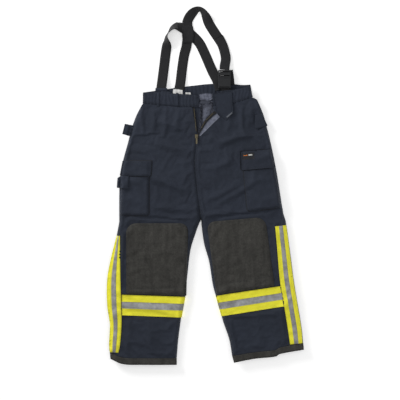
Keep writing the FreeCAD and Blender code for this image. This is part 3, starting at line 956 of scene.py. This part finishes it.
def cuffs():
    """Bound hems: a soft rolled band round each leg opening."""
    for side in ("left", "right"):
        body = f"{side}_lower_leg"
        loop = resample(cad_outline(f"{side}_cuff"), 5 * MM)
        front = cloth_panel(f"{side}_cuff_front", f"{side}_cuff", body, "reinforcement", FRONT,
                            loop=loop, thick=2.0 * MM, lift=0.2 * MM, step=5 * MM, rim=4 * MM,
                            bumps=soft(40, 1.5, 9))
        stitched(f"{side}_cuff_stitch", shrunk(loop, 4 * MM), [tree_of(front)], body,
                 slot="reinforcement")
        low = panel(f"{side}_cuff_back", loop, [], "reinforcement", thick=1.6 * MM,
                    lift=0.1 * MM - TOP_Z, step=8 * MM, rim=3 * MM)
        placed(low, body, "reinforcement", [])


def pockets():
    """Bellows cargo pockets, their flaps with stitched rims, tabs and the blank label."""
    seeds = {"left": 4, "right": 6}
    bag_puff = {"left": 3.6 * MM, "right": 7.0 * MM}
    flap_lift = {"left": 1.6 * MM, "right": 3.4 * MM}
    for side in ("left", "right"):
        loop = resample(cad_outline(f"{side}_cargo_pocket"), 6 * MM)
        bag = panel(f"{side}_pocket_bag", loop, FRONT, "outer_shell", thick=2.0 * MM,
                    lift=0.2 * MM, step=7 * MM, puff=bag_puff[side], rim=9 * MM,
                    bumps=soft(24, 2.6, seeds[side]))
        placed(bag, "trousers", "outer_shell", [f"{side}_cargo_pocket"], padded=0.15)
        tree = tree_of(bag)
        # painted shade: a dark line round the pocket where its edge sits in a recess
        piped_and_shaded(f"{side}_cargo_pocket", f"{side}_pocket_shade_line", "trousers", "outer_shell", FRONT)
        for inset in (4, 8):
            stitched(f"{side}_pocket_stitch_{inset}", shrunk(loop, inset * MM), [tree],
                     "trousers")
        body = f"{side}_cargo_flap"
        loop = resample(cad_outline(body), 5 * MM)
        flap = panel(f"{side}_pocket_flap", loop, FRONT + [tree], "outer_shell",
                     thick=2.6 * MM, lift=flap_lift[side], step=5 * MM, rim=4 * MM,
                     bumps=soft(34, 1.4, seeds[side] + 1))
        placed(flap, body, "outer_shell", [body], flat=flat_size(loop), area=loop_area(loop))
        over = tree_of(flap)
        # painted shadow: a dark line round the flap, standing for the shadow under its edge
        piped_and_shaded(body, f"{side}_flap_shadow_line", body, "outer_shell", FRONT + [tree])
        for inset in (3.5, 8):
            stitched(f"{side}_flap_stitch_{int(inset)}", shrunk(loop, inset * MM), [over], body)
        if side == "right":
            label = cloth_panel("pocket_label", "flap_label", body, "dark_label", [over],
                                thick=0.6 * MM, lift=0.1 * MM, step=3 * MM, rim=1 * MM)
            marks(tree_of(label), body)
    cloth_panel("left_pocket_pull", "left_pocket_tab", "left_cargo_flap", "outer_shell", FRONT,
                thick=2.4 * MM, lift=9 * MM, step=4 * MM, rim=3 * MM)
    for name, node, body, least in (("hip_tab", "left_hip_tab", "trousers", 0.0),
                                    ("hip_pocket_flap", "right_hip_flap", "hip_flap", TOP_Z)):
        loop = resample(cad_outline(node), 4 * MM)
        obj = cloth_panel(name, node, body, "outer_shell", FRONT, loop=loop, thick=2.4 * MM,
                          lift=0.8 * MM, step=4 * MM, rim=3 * MM, least=least)
        stitched(f"{name}_stitch", shrunk(loop, 4 * MM), [tree_of(obj)], body)


def marks(top, body):
    """Two plain woven blocks on the label, with no lettering."""
    corner = Vector((146, 113)) * MM
    along = Vector((46, 4)).normalized()
    up = Vector((-along.y, along.x))
    for name, start, wide, look in (("label_block_a", 0, 14, "label_orange"),
                                    ("label_block_b", 18, 15, "label_pale")):
        a = corner + along * start * MM
        loop = [a, a + along * wide * MM, a + along * wide * MM + up * 5 * MM, a + up * 5 * MM]
        obj = panel(name, loop, [top], look, thick=0.3 * MM, lift=0.1 * MM, step=3 * MM,
                    rim=1 * MM)
        placed(obj, body, "dark_label", [])


def gathers(across, amount):
    """Ridges where elastic gathers the cloth, running up the waistband."""
    def height(p):
        q = Vector((p.x, p.y, 0))
        phase = p.x / across + 0.9 * noise.noise(q * 26)
        return amount * MM * (math.sin(2 * math.pi * phase) + 0.5 * noise.noise(q * 90))
    return height


def waist():
    """Elasticated waistband front and back, its loops, tabs, and the labels inside."""
    trees = []
    back = panel("back_waistband_cloth", resample(BACK_BAND, FINE), [], "outer_shell",
                 thick=6.5 * MM, lift=0.4 * MM - TOP_Z, bumps=gathers(15 * MM, 1.3))
    placed(back, "trousers", "outer_shell", ["back_waistband"], padded=0.3)
    back_tree = tree_of(back)
    for name, node, across in (("left_waistband", "left_front_waistband", 13 * MM),
                               ("right_waistband", "right_front_waistband", 12 * MM)):
        loop = resample(cad_outline(node), FINE)
        band = panel(name, loop, [], "outer_shell", thick=8 * MM, lift=20 * MM - TOP_Z,
                     rim=6 * MM, bumps=gathers(across, 1.5))
        placed(band, "trousers", "outer_shell", [node], padded=0.4)
        tree = tree_of(band)
        trees.append(tree)
        for inset in (4, 9):
            stitched(f"{name}_stitch_{inset}", shrunk(loop, inset * MM), [tree], "trousers")
    take_up = cloth_panel("take_up_strap", "waist_take_up_strap", "trousers", "webbing", trees,
                          look="outer_shell", thick=2.2 * MM, lift=0.3 * MM, rim=3 * MM,
                          bumps=gathers(16 * MM, 0.8))
    over = trees + [tree_of(take_up)]
    for k in range(2):
        loop = resample(cad_outline("belt_loops", part=k), 3 * MM)
        obj = panel(f"belt_loop_{k + 1}", loop, over, "outer_shell", thick=1.8 * MM,
                    lift=1.0 * MM, step=3 * MM, rim=2 * MM)
        placed(obj, "trousers", "webbing", ["belt_loops"] if k == 0 else [])
    cloth_panel("left_brace_anchor", "left_brace_tab", "trousers", "webbing", [],
                look="outer_shell", thick=3 * MM, lift=22.3 * MM - TOP_Z, rim=2 * MM)
    cloth_panel("right_brace_anchor", "right_brace_tab", "trousers", "webbing", [],
                thick=2.2 * MM, lift=16.2 * MM - TOP_Z, rim=2 * MM)
    for k in range(2):
        loop = resample(cad_outline("brace_anchor_patches", part=k), FINE)
        obj = panel(f"brace_anchor_patch_{k + 1}", loop, [back_tree], "outer_shell",
                    thick=2 * MM, lift=0.3 * MM, rim=3 * MM)
        placed(obj, "trousers", "outer_shell", ["brace_anchor_patches"] if k == 0 else [])
        loop = resample(cad_outline("care_labels", part=k), 3 * MM)
        obj = panel(f"care_label_{k + 1}", loop, [tree_of(obj), back_tree], "white_label",
                    thick=0.6 * MM, lift=0.5 * MM, step=3 * MM, rim=1 * MM,
                    bumps=soft(60, 0.6, 12))
        placed(obj, "trousers", "white_label", ["care_labels"] if k == 0 else [])
    for name, look, corners in (
        ("waist_facing", "quilted_lining",
         xy((-27, 350), (0, 355), (31, 353), (28, 336), (14, 327), (-20, 326))),
        # painted shade: a darker lining strip where the fold below the facing lies in shadow
        ("waist_facing_fold_shade", "lining_shade",
         xy((-23, 327), (16, 327), (24, 322), (8, 315), (-20, 314))),
    ):
        obj = panel(name, resample(corners, FINE, sharp=1.2), [back_tree], look,
                    thick=1.2 * MM, lift=0.3 * MM, rim=5 * MM, bumps=soft(45, 2.0, 31))
        placed(obj, "trousers", "quilted_lining", [])


BACK_BAND = xy((-240, 358), (-160, 369), (-128, 374), (-50, 384), (21, 391), (66, 389),
               (111, 390), (140, 387), (171, 388), (180, 330), (-17, 322), (-240, 305))


def fly():
    """The open fly: facings, tapes, a centre seam, and the tab turned back at the right."""
    cloth_panel("left_fly_facing", "fly_facing", "trousers", "outer_shell", [],
                thick=1.4 * MM, lift=19 * MM - TOP_Z, rim=1 * MM)
    cloth_panel("right_fly_lining", "fly_lining_strip", "trousers", "quilted_lining", FRONT,
                thick=1.4 * MM, lift=0.3 * MM, rim=3 * MM, bumps=soft(60, 1.5, 8))
    for side, height in (("left", 24.1), ("right", 26.1)):
        cloth_panel(f"zip_tape_{side}", f"{side}_zip_tape", "trousers", "webbing", [],
                    thick=1.0 * MM, lift=height * MM - TOP_Z, step=3 * MM, rim=1 * MM)
    loop = resample(cad_outline("waist_tab"), 4 * MM)
    tab = cloth_panel("fly_tab", "waist_tab", "waist_tab", "outer_shell", [], loop=loop,
                      thick=2.4 * MM, lift=31.3 * MM - TOP_Z, step=4 * MM, rim=3 * MM,
                      bumps=soft(30, 1.6, 20))
    over = tree_of(tab)
    stitched("fly_tab_stitch", shrunk(loop, 5 * MM), [over], "waist_tab")
    hook = resample(shrunk(cad_outline("waist_tab_hook_strip"), 1.3 * MM), 3 * MM)
    cloth_panel("fly_hook_strip", "waist_tab_hook_strip", "waist_tab", "reinforcement", [over],
                loop=hook, look="hook_edge", thick=1.0 * MM, lift=0.2 * MM, step=3 * MM,
                rim=1 * MM)
    centre = smooth_path(xy((-31, 184), (-41, 100), (-36, 23), (-17, -128)), 4 * MM)
    for name, dx in (("centre_stitch_a", -4), ("centre_stitch_b", 3.5), ("centre_stitch_c", 7)):
        path = [p + Vector((dx * MM, 0)) for p in centre]
        stitched(name, path, FRONT, "trousers", closed=False)
    cover = xy((-52, 170), (-58, 120), (-52, 84), (-41, 78))
    stitched("fly_stitch", smooth_path(cover, 4 * MM), FRONT, "trousers", closed=False)


def smooth_path(points, step):
    """Evenly spaced points on a smooth curve through a few plan points."""
    return [p[0] for p in smooth_stations([(p, 0.0) for p in points], step)]


def smooth_stations(stations, step):
    """Smooth interpolation of (point, number, ...) stations along a path."""
    out = []
    n = len(stations)
    for i in range(n - 1):
        quad = [stations[max(i - 1, 0)], stations[i], stations[i + 1],
                stations[min(i + 2, n - 1)]]
        span = (quad[2][0] - quad[1][0]).length
        count = max(2, round(span / step))
        for k in range(count):
            t = k / count
            item = []
            for field in range(len(quad[1])):
                a, b, c, d = (q[field] for q in quad)
                item.append(((b * 2) + (c - a) * t + (a * 2 - b * 5 + c * 4 - d) * t * t
                             + (b * 3 - a - c * 3 + d) * t ** 3) * 0.5)
            out.append(item)
    out.append(list(stations[-1]))
    return out


WEB = 38 * MM             # width of the brace webbing
WEB_THICK = 1.7 * MM
WEB_CELLS = 6             # cells across the webbing
WEB_EDGE = 0.55           # how much thinner the webbing is at its edges
WEB_SLACK = 1.01          # cut length over laid length


def ribbon(name, stations):
    """A band and its length, through stations (x, y, height of its lower edge, roll in degrees)."""
    path = smooth_stations([(Vector((x, y)) * MM, z * MM, math.radians(r))
                            for x, y, z, r in stations], 6 * MM)
    verts = []
    for i, (p, z, roll) in enumerate(path):
        a = path[max(i - 1, 0)][0]
        b = path[min(i + 1, len(path) - 1)][0]
        along = (b - a).normalized()
        flat = Vector((-along.y, along.x, 0))
        wide = flat * math.cos(roll) + Vector((0, 0, 1)) * math.sin(roll)
        up = Vector((0, 0, 1)) * math.cos(roll) - flat * math.sin(roll)
        centre = Vector((p.x, p.y, z + abs(math.sin(roll)) * WEB / 2 + WEB_THICK / 2))
        for face in (1, -1):
            for k in range(WEB_CELLS + 1)[::face]:
                u = k / WEB_CELLS - 0.5
                half = WEB_THICK / 2 * (1.0 if abs(u) < 0.49 else WEB_EDGE)
                verts.append(centre + wide * (u * WEB) + up * (face * half))
    w = 2 * (WEB_CELLS + 1)
    faces = []
    for i in range(len(path) - 1):
        for k in range(w):
            j = (k + 1) % w
            faces.append((i * w + k, i * w + j, (i + 1) * w + j, (i + 1) * w + k))
    faces.append(tuple(range(w)))
    faces.append(tuple((len(path) - 1) * w + k for k in reversed(range(w))))
    obj = new_mesh(name, verts, faces, "webbing")
    above_floor(obj)
    return obj, sum((b[0] - a[0]).length for a, b in zip(path, path[1:]))


def strap(name, stations, nodes, body="trousers"):
    """A brace's webbing along its path, in place of its CAD parts."""
    obj, length = ribbon(name, stations)
    placed(obj, body, "webbing", nodes, flat=(WEB, length * WEB_SLACK))


def braces():
    """Crossing webbing braces with turned stretches, and the patch sewn where they cross."""
    strap("left_front_webbing",
          [(-106, 613, 0.5, 34), (-117, 611, 0.5, 50), (-130, 602, 0.5, 64),
           (-141, 587, 0.5, 80), (-150, 572, 0.5, 76), (-150, 557, 0.5, 60),
           (-149, 534, 0.5, 12), (-153, 505, 0.5, 0), (-160, 447, 2.0, 0),
           (-166, 398, 11, 0), (-170, 366, 19.5, 0)],
          ["left_front_brace"])
    strap("right_rear_webbing",
          [(56, 370, 9.0, 0), (44, 405, 8.8, 0), (25, 443, 1.5, 0), (-4, 510, 0.4, 0),
           (-25, 550, 0.4, 0), (-55, 581, 0.4, 0), (-80, 601, 0.4, 4), (-101, 610, 0.4, 24),
           (-118, 611, 0.5, 50)],
          ["right_rear_brace"])
    strap("left_rear_webbing",
          [(-101, 370, 9.0, 0), (-96, 394, 7, 0), (-90, 447, 1.5, 0), (-82, 500, 0.4, 0),
           (-73, 534, 1.4, 0), (-69, 570, 2.8, 0), (-68, 600, 2.8, 0), (-70, 630, 2.2, 4)],
          ["left_rear_brace"])
    strap("right_front_webbing",
          [(-68, 612, 2.0, 4), (-70, 628, 1.6, 6), (-59, 651, 0.8, 14), (-42, 668, 0.6, 38),
           (-24, 676, 0.6, 66), (-10, 668, 0.6, 60), (3, 646, 0.6, 30), (16, 618, 0.4, 0),
           (35, 588, 0.4, 0), (50, 566, 0.4, 0), (60, 550, 0.4, 0)],
          ["right_front_brace"])
    strap("buckle_webbing",
          [(50, 570, 3.4, 0), (66, 538, 3.6, 0), (75, 508, 4.5, 0), (78, 485, 7, 0),
           (74, 462, 12, 0), (72.5, 444, 16.6, 0)],
          ["right_brace_end"], body="brace_plug")
    for k, (y, body) in enumerate(((376.4, "trousers"), (419.8, "brace_plug"),
                                   (434.8, "brace_plug"))):
        loop = xy((54.5, y), (90.5, y), (90.5, y + 2.4), (54.5, y + 2.4))
        turn = panel(f"webbing_turn_{k + 1}", loop, [], "webbing", thick=9 * MM,
                     lift=13 * MM - TOP_Z, step=3 * MM, rim=1 * MM)
        placed(turn, body, "webbing", [])
    strap("buckle_tail", [(86, 442, 9.2, 0), (90, 415, 9.2, 0), (93, 386, 9.2, 0)],
          ["right_brace_tail"])
    loop = resample(cad_outline("cross_patch"), 4 * MM)
    patch = cloth_panel("brace_cross_patch", "cross_patch", "trousers", "reinforcement", [],
                        loop=loop, look="webbing", thick=1.8 * MM, lift=4.8 * MM - TOP_Z,
                        step=4 * MM, rim=2 * MM)
    stitched("cross_patch_stitch", shrunk(loop, 4 * MM), [tree_of(patch)], "trousers",
             slot="reinforcement")


def cad_finish(slots):
    """Carried-over CAD pieces get their finished materials."""
    names = {s["node"]: s["material_slot"] for s in frame["record"]["subparts"]}
    for node, obj in NODES.items():
        if names[node] in slots:
            for place in obj.material_slots:
                place.material = LOOKS[names[node]]


liners()
reflective_trim(knees())
back_bands()
cuffs()
pockets()
waist()
fly()
braces()
cad_finish(("zip_metal", "buckle_plastic"))
